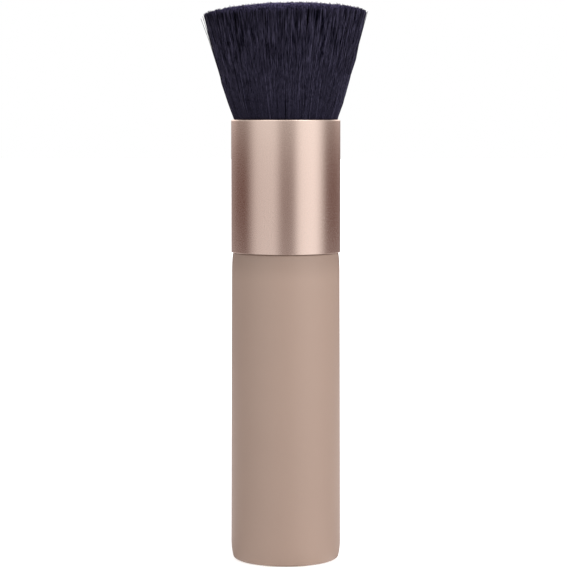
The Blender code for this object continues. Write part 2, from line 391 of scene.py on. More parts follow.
@dataclass(frozen=True)
class AnodisedMetal(PatternedFinish):
    """Drawn aluminium, etched satin and anodised rose gold."""

    name: str = "rose_gold_anodised"
    slot: Slot = Slot.FERRULE_METAL
    colour: Colour = (0.79, 0.65, 0.575)
    metallic: float = 1.0
    scale: float = 9000.0
    depth: float = 0.0001 * MM
    clouds: Span = (60.0, 0.008)
    roughness_span: Span = (0.255, 0.285)


@dataclass(frozen=True)
class PottedRoots(PatternedFinish):
    """Filament roots soaked in resin: nearly black, with the ends showing as specks."""

    name: str = "potted_roots"
    slot: Slot = Slot.FILAMENT
    colour: Colour = (0.06, 0.052, 0.07)
    hollow: Colour = (0.02, 0.017, 0.022)
    roughness: float = 0.3
    scale: float = 5200.0
    depth: float = 0.01 * MM
    squash: Stretch = (1.0, 1.0, 0.05)


@dataclass(frozen=True)
class NaturalMoulding(PatternedFinish):
    """Undyed moulded plastic with a spark-eroded grain."""

    name: str = "natural_moulding"
    slot: Slot = Slot.INNER_MOULDING
    colour: Colour = (0.62, 0.60, 0.56)
    scale: float = 2500.0
    depth: float = 0.004 * MM
    clouds: Span = (120.0, 0.03)
    roughness_span: Span = (0.48, 0.62)


@dataclass(frozen=True)
class SetEpoxy(PatternedFinish):
    """Clear amber adhesive, set hard and glossy, with slow swirls."""

    name: str = "amber_epoxy"
    slot: Slot = Slot.ADHESIVE
    colour: Colour = (0.70, 0.58, 0.36)
    coat: float = 0.4
    coat_roughness: float = 0.08
    scale: float = 400.0
    depth: float = 0.03 * MM
    squash: Stretch = (1.0, 1.0, 2.0)
    clouds: Span = (260.0, 0.14)
    roughness_span: Span = (0.14, 0.24)


@dataclass(frozen=True)
class SawnSteel(PatternedFinish):
    """Bright drawn bar, with fine lines along it."""

    name: str = "drawn_steel_bar"
    slot: Slot = Slot.WEIGHT_STEEL
    colour: Colour = (0.45, 0.45, 0.46)
    metallic: float = 1.0
    scale: float = 4000.0
    depth: float = 0.004 * MM
    squash: Stretch = (1.0, 1.0, 0.02)
    clouds: Span = (90.0, 0.06)
    roughness_span: Span = (0.25, 0.42)


@dataclass(frozen=True)
class WoundThread(PatternedFinish):
    """Cotton thread wound in close turns: one ridge for each turn, with fibres across it.

    The grooves between the turns are painted darker, as painted shade.
    """

    name: str = "cotton_thread"
    slot: Slot = Slot.BINDING
    colour: Colour = (0.72, 0.69, 0.62)
    # painted shade: the grooves between the turns, at a share of the thread's colour
    hollow: Colour = dimmed(colour, 0.55)
    roughness: float = 0.85
    sheen: float = 0.3
    scale: float = 1 / (0.3 * MM)
    depth: float = 0.08 * MM
    clouds: Span = (3000.0, 0.08)

    def pattern(self, made: Dressing) -> Socket:
        """The turns, as a wave up Z."""
        turn = made.math("MULTIPLY", made.axes()["Z"], math.tau * self.scale)
        return made.mapped(made.math("SINE", turn), start=-1.0)


@dataclass(frozen=True)
class OpenCellFoam(PatternedFinish):
    """Charcoal foam with open cells about half a millimetre wide.

    The cells are painted darker than their walls, as painted shade inside them.
    """

    name: str = "open_cell_foam"
    slot: Slot = Slot.FOAM
    colour: Colour = (0.22, 0.22, 0.23)
    # painted shade: the inside of each open cell, darker than its walls
    hollow: Colour = (0.05, 0.05, 0.055)
    roughness: float = 0.95
    scale: float = 1900.0
    depth: float = 0.2 * MM
    wall_span: Span = (0.05, 0.25)

    def pattern(self, made: Dressing) -> Socket:
        """The walls between the cells."""
        inputs = {"Vector": made.place(), "Scale": self.scale}
        cells = made.node("ShaderNodeTexVoronoi", inputs, feature="DISTANCE_TO_EDGE")
        return made.mapped(cells.outputs["Distance"], *self.wall_span, low=1.0, high=0.0)


@dataclass(frozen=True)
class Filament(Finish):
    """Fine near-black synthetic filament, paler and more violet where it is cut.

    A filament's shade tells its kind: up to inner_share it stands inside the tuft, above that in
    the tuft's skin, and from lead_start on it is one of the paler leads. Inside the tuft the
    colour is painted darker, as painted shade. The cut's violet is partly its own colour and
    partly painted light: paler towards the middle of the cut, dimmer at its rim and on the skin.
    """

    name: str = "dark_filament"
    slot: Slot = Slot.FILAMENT
    roughness: float = 0.42
    specular: float = 0.06
    dark: Colour = (0.0007, 0.0007, 0.0075)
    light: Colour = (0.11, 0.0985, 0.168)
    tip_dark: Colour = (0.016, 0.014, 0.034)
    # the cut's own violet, painted paler towards the middle of the cut and dimmer at its rim and on
    # the skin, as painted light
    painted_lit_tip_centre: Colour = (0.56, 0.48, 1.0)
    painted_dim_tip_rim: Colour = (0.145, 0.125, 0.25)
    tip_start: Span = (0.989, 0.976)
    tip_cover: Span = (1.0, 0.5)
    tone_share: float = 0.012
    streak_share: float = 0.0325
    root_share: float = 0.15
    slip: float = 3.1
    tone_low: Span = (0.25, 0.44)
    tone_high: Span = (0.54, 1.6)
    inner_share: float = 0.46
    inner_margin: float = 0.01
    # painted shade: how much of its lightness a filament inside the tuft keeps, for the shade inside
    # the tuft
    inner_painted_shade: float = 0.12
    skin_shades: Span = (0.48, 0.92)
    lead_start: float = 0.93
    lead_gain: float = 0.45

    def level(self, made: Dressing, shade: Socket, along: Socket) -> Socket:
        """Draws the pale and dark streaks, which lengthen away from the root.

        Args:
            made: the material under construction.
            shade: the filament's shade.
            along: the share of the way from the ferrule's lip to the cut.

        Returns:
            A mask that is 0 where the filament is dark and 1 where it is pale.
        """
        crowding = made.math("DIVIDE", self.root_share, made.math("ADD", along, self.root_share))
        slipped = made.math("MULTIPLY_ADD", shade, self.slip, crowding)
        place = made.node("ShaderNodeCombineXYZ", {"X": shade, "Y": slipped}).outputs["Vector"]
        spread = made.vector("MULTIPLY", place, (1 / self.tone_share, 1 / self.streak_share, 1.0))
        noise = made.noise(spread, 1.0, detail=3.0, roughness=0.65)
        darkest, palest = made.ranged(along, *self.tone_low), made.ranged(crowding, *self.tone_high)
        lead = made.mapped(shade, start=self.lead_start, high=self.lead_gain)
        return made.math("ADD", made.mapped(noise, darkest, palest), lead, clamp=True)

    def dress(self, made: Dressing) -> None:
        """Colours it by the attributes shade and along of its mesh, and by nothing else.

        The meshes can so carry a map of the two.

        Args:
            made: the material under construction.
        """
        shade, along = (
            made.node("ShaderNodeAttribute", attribute_name=name).outputs["Fac"]
            for name in ("shade", "along")
        )
        level = self.level(made, shade, along)
        edge, margin = self.inner_share, self.inner_margin
        skin = made.mapped(shade, edge - margin, edge + margin)
        # painted shade: filaments inside the tuft are darkened, for the shade between them
        painted_shade_level = made.math("MULTIPLY", level, made.ranged(skin, self.inner_painted_shade, 1.0))
        body = made.blended(painted_shade_level, self.dark, self.light)
        # painted light: the cut is paler towards its middle and dimmer towards its rim
        pale = made.blended(made.mapped(shade, end=edge), self.painted_lit_tip_centre, self.painted_dim_tip_rim)
        tip = made.blended(level, self.tip_dark, pale)
        # painted shade: on the skin the tips are dimmer and their colour starts further down
        start, cover = made.ranged(skin, *self.tip_start), made.ranged(skin, *self.tip_cover)
        near_tip = made.mapped(along, start, high=cover, smooth=True)
        made.feed("Base Color", made.blended(near_tip, body, tip))


# Shaping


def arc(centre: Span, reach: Span, start: float, end: float, steps: int) -> Outline:
    """Points of an elliptical arc in a turned outline.

    Args:
        centre: radius and height of the arc's centre.
        reach: the arc's half width and half height.
        start: first angle in degrees, from the outward direction towards up.
        end: last angle in degrees.
        steps: number of straight steps.

    Returns:
        The (radius, height) points, both ends included.
    """
    points: Outline = []
    for step in range(steps + 1):
        angle = math.radians(start + (end - start) * step / steps)
        points.append((centre[0] + reach[0] * math.cos(angle), centre[1] + reach[1] * math.sin(angle)))
    return points


def corner(centre: Span, radius: float, start: float, end: float, steps: int) -> Outline:
    """Points of a round corner in a turned outline, as arc gives them."""
    return arc(centre, (radius, radius), start, end, steps)


def plain_mesh(name: str, bm: BMesh) -> Mesh:
    """Turns a bmesh into a mesh.

    Args:
        name: name of the mesh.
        bm: the bmesh, which is freed.

    Returns:
        The mesh.
    """
    mesh = bpy.data.meshes.new(name)
    bm.to_mesh(mesh)
    bm.free()
    return mesh


def turned(name: str, outline: Outline, segments: int) -> Mesh:
    """Turns an outline about Z into one closed shape, smooth but for its sharp edges.

    Args:
        name: name of the mesh.
        outline: (radius, height) points, which start and end on the axis or else form a ring.
        segments: number of facets round the axis.

    Returns:
        The mesh, its doubles merged and its faces pointing out.
    """
    bm = bmesh.new()
    points = [bm.verts.new((radius, 0.0, height)) for radius, height in outline]
    edges = [bm.edges.new(pair) for pair in zip(points, points[1:])]
    if outline[0][0] > 0.0:
        edges.append(bm.edges.new((points[-1], points[0])))
    bmesh.ops.spin(
        bm,
        geom=points + edges,
        cent=(0.0, 0.0, 0.0),
        axis=(0.0, 0.0, 1.0),
        angle=math.tau,
        steps=segments,
        use_merge=True,
    )
    bmesh.ops.remove_doubles(bm, verts=bm.verts[:], dist=WELD_DISTANCE)
    bmesh.ops.recalc_face_normals(bm, faces=bm.faces[:])
    mesh = plain_mesh(name, bm)
    mesh.shade_smooth()
    mesh.set_sharp_from_angle(angle=math.radians(SHARP_ANGLE))
    return mesh


def raised(bm: BMesh, edges: list[BMEdge], height: float) -> list[BMEdge]:
    """Extrudes edges up to a height.

    Args:
        bm: the bmesh that holds them.
        edges: the edges.
        height: where the new edges lie.

    Returns:
        The new edges.
    """
    grown = bmesh.ops.extrude_edge_only(bm, edges=edges)["geom"]
    for item in grown:
        if isinstance(item, BMVert):
            item.co.z = height
    return [item for item in grown if isinstance(item, BMEdge)]


def linked(name: str, data: bpy.types.ID) -> Object:
    """Puts some data in the scene as an object.

    Args:
        name: name of the object.
        data: its mesh, light or camera.

    Returns:
        The object, at the origin.
    """
    made = bpy.data.objects.new(name, data)
    bpy.context.scene.collection.objects.link(made)
    return made


def fitted(mesh: Mesh, finish: Finish, solid: str) -> None:
    """Puts a finished mesh on the brush, riding on its one body.

    Args:
        mesh: the mesh, already in place, whose name is the piece's name.
        finish: its finish.
        solid: the solid that it stands for.
    """
    mesh.materials.append(finish.material())
    piece = linked(mesh.name, mesh)
    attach(piece, "root")
    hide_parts(solid)
    log.info("%s: %d faces in slot %s", piece.name, len(mesh.polygons), finish.slot.value)


# Sub-assemblies


@dataclass
class Handle:
    """The moulded handle: round foot, long faint taper, soft shoulder and hidden neck."""

    finish: Finish = SatinLacquer()
    segments: int = 192
    seat_gap: float = 0.12 * MM
    weight_gap: float = 0.3 * MM
    draft: float = 0.23 * MM
    shoulder_length: float = 5.5 * MM
    shoulder_inset: float = 0.4 * MM
    shoulder_edge: float = 0.1 * MM
    shoulder_sweep: float = 85.0
    tuck_width: float = 0.5 * MM
    tuck_top: float = 5.0 * MM
    tuck_sweep: float = 45.0
    corner_width: float = 2.2 * MM
    corner_height: float = 0.85 * MM
    corner_turn: float = 7.3
    groove_depth: float = 0.9 * MM
    groove_height: float = 2.2 * MM
    neck_wall: float = 1.9 * MM
    neck_edge: float = 0.4 * MM
    bore_draft: float = 0.3 * MM
    floor: float = 3.0 * MM
    floor_fillet: float = 1.2 * MM
    socket_wall: float = 1.4 * MM
    socket_height: float = 10.0 * MM

    def foot(self, radius: float) -> Outline:
        """Draws the foot: a flat, a small corner and the long tuck above it.

        Args:
            radius: the handle's radius where the tuck ends.

        Returns:
            The (radius, height) points from the axis up to the top of the tuck.
        """
        sweep, turn = math.radians(self.tuck_sweep), math.radians(self.corner_turn)
        tuck_reach = (
            self.tuck_width / (1 - math.cos(sweep)),
            (self.tuck_top - self.corner_height) / math.sin(sweep),
        )
        corner_reach = (self.corner_width, self.corner_height / (1 - math.sin(turn)))
        flat = radius - self.tuck_width - self.corner_width * math.cos(turn)
        tuck = (radius - tuck_reach[0], self.tuck_top)
        points: Outline = [(0.0, 0.0)]
        points += arc((flat, corner_reach[1]), corner_reach, -90.0, -self.corner_turn, steps=16)
        points += arc(tuck, tuck_reach, -self.tuck_sweep, 0.0, steps=12)
        return points

    def outline(self) -> Outline:
        """Works out the handle's section from its own sizes and the frame's.

        Returns:
            The (radius, height) points from the middle of the foot round to the inner floor.
        """
        foot_radius, neck_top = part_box("handle_shell")[1].xz
        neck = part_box("neck_glue_ring")[1].x
        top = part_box("ferrule")[0].z - self.seat_gap
        edge, fillet, rim = self.shoulder_edge, self.floor_fillet, self.neck_edge
        shoulder = foot_radius - self.draft - self.shoulder_inset
        shoulder_reach = (self.shoulder_inset, self.shoulder_length - edge)
        shoulder_foot = (shoulder, top - self.shoulder_length)
        groove_foot = (top + neck_top - self.groove_height) / 2
        groove_top = groove_foot + self.groove_height
        groove = neck - self.groove_depth
        bore = neck - self.neck_wall
        inner = bore - self.bore_draft
        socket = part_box("balance_weight")[1].x + self.weight_gap
        socket_side = socket + self.socket_wall
        socket_top = self.floor + self.socket_height
        points = self.foot(foot_radius)
        points += arc(shoulder_foot, shoulder_reach, 0.0, self.shoulder_sweep, steps=14)
        points += corner((shoulder - edge, top - edge), edge, 0.0, 90.0, steps=4)
        points += [(neck, top), (neck, groove_foot), (groove, groove_foot), (groove, groove_top)]
        points += [(neck, groove_top)]
        points += corner((neck - rim, neck_top - rim), rim, 0.0, 90.0, steps=4)
        points += [(bore, neck_top)]
        points += corner((inner - fillet, self.floor + fillet), fillet, 0.0, -90.0, steps=6)
        points += [(socket_side, self.floor), (socket_side, socket_top), (socket, socket_top)]
        points += [(socket, self.floor), (0.0, self.floor)]
        return points

    def build(self) -> None:
        """Turns the handle and dresses it."""
        mesh = turned("lacquered_handle", self.outline(), self.segments)
        fitted(mesh, self.finish, "handle_shell")


@dataclass
class Ferrule:
    """The drawn sleeve, whose outer edges are rolled soft at the lip and at the foot."""

    finish: Finish = AnodisedMetal()
    segments: int = 256
    wall: float = 0.6 * MM
    lip_round: float = 0.42 * MM
    foot_round: float = 0.14 * MM
    inner_round: float = 0.12 * MM

    def outline(self) -> Outline:
        """Works out the sleeve's section from the solid's place.

        Returns:
            The (radius, height) points of the ring, from the foot up its outer side.
        """
        low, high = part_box("ferrule")
        radius, lip, foot = high.x, high.z, low.z
        below, above, inner = self.foot_round, self.lip_round, self.inner_round
        bore = radius - self.wall
        points = corner((radius - below, foot + below), below, -90.0, 0.0, steps=8)
        points += corner((radius - above, lip - above), above, 0.0, 90.0, steps=10)
        points += corner((bore + inner, lip - inner), inner, 90.0, 180.0, steps=5)
        points += corner((bore + inner, foot + inner), inner, 180.0, 270.0, steps=5)
        return points

    def build(self) -> None:
        """Turns the sleeve and dresses it."""
        fitted(turned("rose_gold_ferrule", self.outline(), self.segments), self.finish, "ferrule")


@dataclass
class Course:
    """Where each filament of a bundle runs. Every field has one row for each filament."""

    root: np.ndarray
    lip: np.ndarray
    tip: np.ndarray
    tip_height: np.ndarray
    belly: np.ndarray
    pull: np.ndarray
    pull_power: np.ndarray
    spin: np.ndarray
    shade: np.ndarray
    girth: np.ndarray
    weave: np.ndarray

    def part(self, first: int, count: int) -> "Course":
        """The course of some of the filaments."""
        return Course(**{name: values[first : first + count] for name, values in vars(self).items()})


@dataclass
class Tuft:
    """The tuft: tens of thousands of filaments that fan out of the ferrule to a domed cut.

    A filament has a ring of corners at each of its ring shares, which count from the ferrule's
    lip to the cut, and below 0 to the root. A flyaway has a bearing, a distance that it stands
    off and a share of the way to the cut.
    """

    finish: Filament = Filament()
    slice_finish: Finish = PottedRoots()
    bundles: int = 8
    filaments_a_bundle: int = 5250
    seed: int = 20
    sides: int = 3
    ring_shares: tuple[float, ...] = (-1.0, 0.0, 0.15, 0.35, 0.56, 0.78, 1.0)
    girth_shares: tuple[float, ...] = (0.7, 0.85, 0.95, 1.0, 1.0, 1.0, 0.7)
    ring_margin: float = 0.01
    girth: float = 0.075 * MM
    girth_spread: Span = (0.8, 1.1)
    jitter_share: float = 0.45
    root_inset: float = 1.0 * MM
    lip_spread: float = 0.12 * MM
    lip_scatter: float = 0.55 * MM
    head_radius: float = 20.65 * MM
    head_rise: float = 29.4 * MM
    dome_drop: float = 1.95 * MM
    edge_drop: float = 0.4 * MM
    edge_power: int = 8
    cut_tilt: float = 1.25
    cut_scatter: float = 0.15 * MM
    lean: float = 0.15 * MM
    belly: float = 0.38 * MM
    belly_power: float = 0.6
    lock_spacing: float = 0.9 * MM
    lock_pull: Span = (0.35, 0.75)
    lock_power: Span = (1.8, 4.0)
    lock_scatter: float = 0.1 * MM
    wisp_spacing: float = 0.45 * MM
    wisp_pull: Span = (0.15, 0.5)
    wisp_scatter: float = 0.14 * MM
    wisp_weave: float = 0.13 * MM
    tip_scatter: float = 0.07 * MM
    weave: float = 0.07 * MM
    shade_scatter: float = 0.003
    inner_shade: float = 0.4
    inner_spread: float = 0.12
    skin_share: float = 0.955
    lead_share: float = 0.06
    lead_girth: float = 1.7
    strays: int = 240
    stray_reach: Span = (0.35, 1.0)
    stray_reach_power: float = 0.7
    stray_stand_off: float = 0.22 * MM
    stray_sway: float = 0.5 * MM
    stray_power: float = 2.0
    stray_girth: float = 0.6
    flyaways: tuple[tuple[float, float, float], ...] = (
        (180.0, 1.15 * MM, 0.965),
        (183.0, 0.55 * MM, 0.985),
        (177.0, 0.5 * MM, 0.66),
        (0.0, 0.45 * MM, 1.005),
        (5.0, 0.3 * MM, 0.98),
    )
    flyaway_power: float = 5.0
    flyaway_girth: float = 1.2
    slice_inset: float = 0.8 * MM
    slice_edge: float = 0.25 * MM
    slice_segments: int = 96
    map_margin: float = 0.02
    map_span: float = 0.95
    map_root_share: float = 0.1
    map_section: Span = (0.008, 0.006)

    def root_radius(self) -> float:
        """Radius of the tuft in its binding."""
        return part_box("root_binding")[1].x - self.root_inset

    def lip_radius(self) -> float:
        """Radius of the tuft at the ferrule's lip."""
        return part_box("tuft_cup")[1].x + self.lip_spread

    def lip_height(self) -> float:
        """Height of the ferrule's lip."""
        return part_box("ferrule")[1].z

    def cut_height(self, places: np.ndarray) -> np.ndarray:
        """Works out the cut: a low dome that leans to the left.

        Args:
            places: rows of x and y on the head.

        Returns:
            The height of the cut over each place.
        """
        reach = np.linalg.norm(places, axis=1) / self.head_radius
        top = self.lip_height() + self.head_rise
        dome = top - self.dome_drop * reach**2 - self.edge_drop * reach**self.edge_power
        return dome + places[:, 0] * math.tan(math.radians(self.cut_tilt))

    def scattered(self, count: int, rng: np.random.Generator) -> np.ndarray:
        """Spreads points evenly but irregularly over a disc of radius 1.

        Args:
            count: number of points.
            rng: the seeded source of scatter.

        Returns:
            An array of count rows of x and y.
        """
        step = np.arange(count)
        reach = np.sqrt((step + 0.5) / count)
        bearing = step * math.pi * GOLDEN_HALF_TURNS
        points = np.stack([reach * np.cos(bearing), reach * np.sin(bearing)], 1)
        points += rng.normal(0.0, self.jitter_share / math.sqrt(count), points.shape)
        far = np.maximum(np.linalg.norm(points, axis=1), 1.0)
        return points / far[:, None]

    def gathered(
        self, points: np.ndarray, spacing: float, rng: np.random.Generator
    ) -> tuple[np.ndarray, np.ndarray]:
        """Finds the lock that each filament belongs to.

        Args:
            points: places of the filaments on a disc of radius 1.
            spacing: mean distance of the locks at the cut.
            rng: the seeded source of scatter.

        Returns:
            For each filament, the place of its lock and the lock's number.
        """
        count = int((self.head_radius / spacing) ** 2 * math.pi)
        centres = self.scattered(count, rng)
        tree = KDTree(count)
        for number, (x, y) in enumerate(centres):
            tree.insert((x, y, 0.0), number)
        tree.balance()
        nearest = np.array([tree.find((x, y, 0.0))[1] for x, y in points])
        return centres[nearest], nearest

    def course(self) -> Course:
        """Plans every filament of the tuft.

        Filaments gather in locks and in finer wisps towards the tips, which opens the dark gaps
        on the side of the tuft.

        Returns:
            The course of all the filaments, sorted by bearing.
        """
        rng = np.random.default_rng(self.seed)
        count = self.bundles * self.filaments_a_bundle
        disc = self.scattered(count, rng)
        disc = disc[np.argsort(np.arctan2(disc[:, 1], disc[:, 0]), kind="stable")]
        lock_place, lock = self.gathered(disc, self.lock_spacing, rng)
        wisp_place, wisp = self.gathered(disc, self.wisp_spacing, rng)
        locks, wisps = lock.max() + 1, wisp.max() + 1
        lock_pull = rng.uniform(*self.lock_pull, locks)[lock, None]
        wisp_pull = rng.uniform(*self.wisp_pull, wisps)[wisp, None]
        pull = (lock_place - disc) * lock_pull + (wisp_place - disc) * wisp_pull
        pull = pull * self.head_radius
        pull += rng.normal(0.0, self.lock_scatter, (locks, 2))[lock]
        pull += rng.normal(0.0, self.wisp_scatter, (wisps, 2))[wisp]
        pull += rng.normal(0.0, self.tip_scatter, (count, 2))
        rings = len(self.ring_shares)
        weave = rng.normal(0.0, self.wisp_weave, (wisps, rings, 2))[wisp]
        weave += rng.normal(0.0, self.weave, (count, rings, 2))
        tip = disc * self.head_radius
        height = self.cut_height(tip)
        scatter = rng.normal(0.0, self.cut_scatter, wisps)[wisp]
        height += scatter + rng.normal(0.0, self.cut_scatter, count)
        skin_shades = self.finish.skin_shades
        shade = rng.uniform(*skin_shades, wisps)[wisp] + rng.normal(0.0, self.shade_scatter, count)
        reach = np.linalg.norm(disc, axis=1)
        skin = reach > self.skin_share
        # inner filaments' shade grows with their reach, so that the material paints the cut paler
        # towards its middle, as painted light
        inner = self.inner_shade * reach**4 + self.inner_spread * (shade - skin_shades[0])
        lead = skin & (rng.random(count) < self.lead_share)
        shade = np.where(lead, rng.uniform(self.finish.lead_start, 1.0, count), shade)
        lip = disc * self.lip_radius() + rng.normal(0.0, self.lip_scatter, (count, 2))
        lip /= np.maximum(np.linalg.norm(lip, axis=1) / self.lip_radius(), 1.0)[:, None]
        return Course(
            root=disc * self.root_radius(),
            lip=lip,
            tip=tip - np.array([self.lean, 0.0]),
            tip_height=height,
            belly=disc * self.belly,
            pull=pull,
            pull_power=rng.uniform(*self.lock_power, locks)[lock],
            spin=rng.uniform(0.0, math.tau, count),
            shade=np.clip(np.where(skin, shade, inner), 0.0, 1.0),
            girth=self.girth * np.where(lead, self.lead_girth, rng.uniform(*self.girth_spread, count)),
            weave=weave,
        )

    def stray_course(self) -> Course:
        """Plans the few hairs that stand off the side of the tuft and end where they like.

        Returns:
            The course of the stray hairs, the flyaways at the corners of the view first.
        """
        rng = np.random.default_rng(self.seed + 1)
        count = self.strays
        bearing = rng.uniform(-math.pi, math.pi, count)
        reach = rng.uniform(*self.stray_reach, count) ** self.stray_reach_power
        stand_off = np.abs(rng.normal(0.0, self.stray_stand_off, count)) * reach
        girth = np.full(count, self.girth * self.stray_girth)
        power = np.full(count, self.stray_power)
        flyaways = np.array(self.flyaways)
        chosen = len(flyaways)
        bearing[:chosen] = np.radians(flyaways[:, 0])
        stand_off[:chosen] = flyaways[:, 1]
        reach[:chosen] = flyaways[:, 2]
        girth[:chosen] = self.girth * self.flyaway_girth
        power[:chosen] = self.flyaway_power
        outward = np.stack([np.cos(bearing), np.sin(bearing)], 1)
        sideways = np.stack([-outward[:, 1], outward[:, 0]], 1)
        sway = sideways * rng.normal(0.0, self.stray_sway, (count, 1))
        lip, full = outward * self.lip_radius(), outward * self.head_radius
        tip = lip + (full - lip) * reach[:, None]
        lip_height = self.lip_height()
        return Course(
            root=outward * self.root_radius(),
            lip=lip,
            tip=tip - np.array([self.lean, 0.0]) * reach[:, None],
            tip_height=lip_height + (self.cut_height(full) - lip_height) * reach,
            belly=outward * self.belly,
            pull=sway + outward * stand_off[:, None],
            pull_power=power,
            spin=rng.uniform(0.0, math.tau, count),
            shade=rng.uniform(*self.finish.skin_shades, count),
            girth=girth,
            weave=rng.normal(0.0, self.weave / 2, (count, len(self.ring_shares), 2)),
        )

    def straight_filaments(self, name: str, count: int) -> Mesh:
        """Makes upright filaments that all stand at one place, ready to be laid.

        Args:
            name: name of the mesh.
            count: number of filaments.

        Returns:
            A mesh in which x and y give the corner of a section of radius 1, and z its share.
        """
        bm = bmesh.new()
        foot = Matrix.Translation((0.0, 0.0, self.ring_shares[0]))
        bmesh.ops.create_circle(bm, cap_ends=True, radius=1.0, segments=self.sides, matrix=foot)
        rim = bm.edges[:]
        for share in self.ring_shares[1:]:
            rim = raised(bm, rim, share)
        bmesh.ops.holes_fill(bm, edges=rim, sides=self.sides)
        bmesh.ops.recalc_face_normals(bm, faces=bm.faces[:])
        sizes = [len(kind) for kind in (bm.verts, bm.edges, bm.faces)]
        made = 1
        while made < count:
            more = min(made, count - made)
            kinds = (bm.verts, bm.edges, bm.faces)
            copied = [item for kind, size in zip(kinds, sizes) for item in kind[: more * size]]
            bmesh.ops.duplicate(bm, geom=copied)
            made += more
        mesh = plain_mesh(name, bm)
        mesh.shade_smooth()
        return mesh

    def lay(self, mesh: Mesh, course: Course) -> None:
        """Lays straight filaments along their courses, with their attributes and their map.

        Args:
            mesh: what straight_filaments made.
            course: a course for each filament.
        """
        count = len(course.spin)
        flat = np.empty(len(mesh.vertices) * 3, np.float32)
        mesh.vertices.foreach_get("co", flat)
        shape = flat.reshape(count, -1, 3).astype(float)
        share = shape[:, :, 2]
        up, down = np.clip(share, 0.0, 1.0), np.clip(-share, 0.0, 1.0)
        girth = np.interp(share, self.ring_shares, self.girth_shares) * course.girth[:, None]
        arch = np.sin(math.pi * up).clip(0.0)
        swell, loose = arch**self.belly_power, np.sqrt(arch)
        gather = up ** course.pull_power[:, None]
        flow = course.lip[:, None] + (course.tip - course.lip)[:, None] * up[:, :, None]
        flow += (course.root - course.lip)[:, None] * down[:, :, None]
        flow += course.belly[:, None] * swell[:, :, None] + course.pull[:, None] * gather[:, :, None]
        ring = np.searchsorted(self.ring_shares, share - self.ring_margin)
        flow += course.weave[np.arange(count)[:, None], ring] * loose[:, :, None]
        turn = np.arctan2(shape[:, :, 1], shape[:, :, 0]) + course.spin[:, None]
        lip_height = self.lip_height()
        root_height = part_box("root_binding")[0].z
        placed = np.empty_like(shape)
        placed[:, :, 0] = flow[:, :, 0] + girth * np.cos(turn)
        placed[:, :, 1] = flow[:, :, 1] + girth * np.sin(turn)
        placed[:, :, 2] = lip_height + (course.tip_height[:, None] - lip_height) * up
        placed[:, :, 2] -= (lip_height - root_height) * down
        mesh.vertices.foreach_set("co", placed.astype(np.float32).ravel())
        shade = np.repeat(course.shade, shape.shape[1])
        for name, values in (("shade", shade), ("along", up.ravel())):
            attribute = mesh.attributes.new(name, "FLOAT", "POINT")
            attribute.data.foreach_set("value", values.astype(np.float32))
        self.map_filaments(mesh, shade, share.ravel(), flat[1::3])
        mesh.update()

    def map_filaments(
        self, mesh: Mesh, shade: np.ndarray, share: np.ndarray, corners: np.ndarray
    ) -> None:
        """Gives the mesh a UV map of shade by share, on which all filaments share the space.

        Args:
            mesh: the laid filaments.
            shade: each point's shade.
            share: each point's share along its filament, from -1 to 1.
            corners: a number from -1 to 1 that differs at the corners of a section.
        """
        along = np.interp(share, [-1.0, 0.0, 1.0], [0.0, self.map_root_share, 1.0])
        places = self.map_margin + self.map_span * np.stack([shade, along], 1)
        places += corners[:, None] * np.array(self.map_section)
        point = np.empty(len(mesh.loops), np.int32)
        mesh.loops.foreach_get("vertex_index", point)
        layer = mesh.uv_layers.new(name="OFBake", do_init=False)
        layer.uv.foreach_set("vector", places[point].astype(np.float32).ravel())

    def add_slice(self) -> None:
        """Makes the disc of resin-soaked roots that the filaments stand in, as thick as its solid."""
        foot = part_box("bristle_tuft")[0].z
        binding_low, binding_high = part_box("root_binding")
        top = binding_high.z + (binding_low.z - foot)
        edge = self.slice_edge
        side = binding_high.x - self.slice_inset - edge
        points: Outline = [(0.0, foot)]
        points += corner((side, foot + edge), edge, -90.0, 0.0, steps=4)
        points += corner((side, top - edge), edge, 0.0, 90.0, steps=4)
        points += [(0.0, top)]
        mesh = turned("potted_root_slice", points, self.slice_segments)
        fitted(mesh, self.slice_finish, "bristle_tuft")

    def add_filaments(self, mesh: Mesh, course: Course) -> None:
        """Lays straight filaments and puts them on the brush."""
        self.lay(mesh, course)
        fitted(mesh, self.finish, "bristle_tuft")

    def build(self) -> None:
        """Makes the potted slice, the bundles of filaments and the stray hairs."""
        course = self.course()
        self.add_slice()
        straight = self.straight_filaments("filament_bundle", self.filaments_a_bundle)
        for bundle in range(self.bundles):
            mesh = straight.copy()
            mesh.name = f"filament_bundle_{bundle + 1}"
            first = bundle * self.filaments_a_bundle
            self.add_filaments(mesh, course.part(first, self.filaments_a_bundle))
        bpy.data.meshes.remove(straight)
        self.add_filaments(self.straight_filaments("stray_hairs", self.strays), self.stray_course())


@dataclass
class InnerWorks:
    """The pieces inside, which keep their solids and get their finishes."""

    nodes: tuple[tuple[str, Finish], ...] = (
        ("balance_weight", SawnSteel()),
        ("foam_rod", OpenCellFoam()),
        ("neck_plug", NaturalMoulding()),
        ("neck_glue_ring", SetEpoxy()),
        ("cup_glue_ring", SetEpoxy()),
        ("tuft_cup", NaturalMoulding()),
        ("potting_resin", SetEpoxy()),
        ("root_binding", WoundThread()),
    )

    def dress(self) -> None:
        """Puts each finish in the material slot of its solid."""
        for name, finish in self.nodes:
            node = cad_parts[name]
            for slot in node.material_slots:
                slot.material = finish.material()
            log.info("%s: kept solid in slot %s", name, finish.slot.value)


# Studio


def hidden(item: Object, *rays: str) -> None:
    """Hides an object from some kinds of rays."""
    for ray in rays:
        setattr(item, f"visible_{ray}", False)


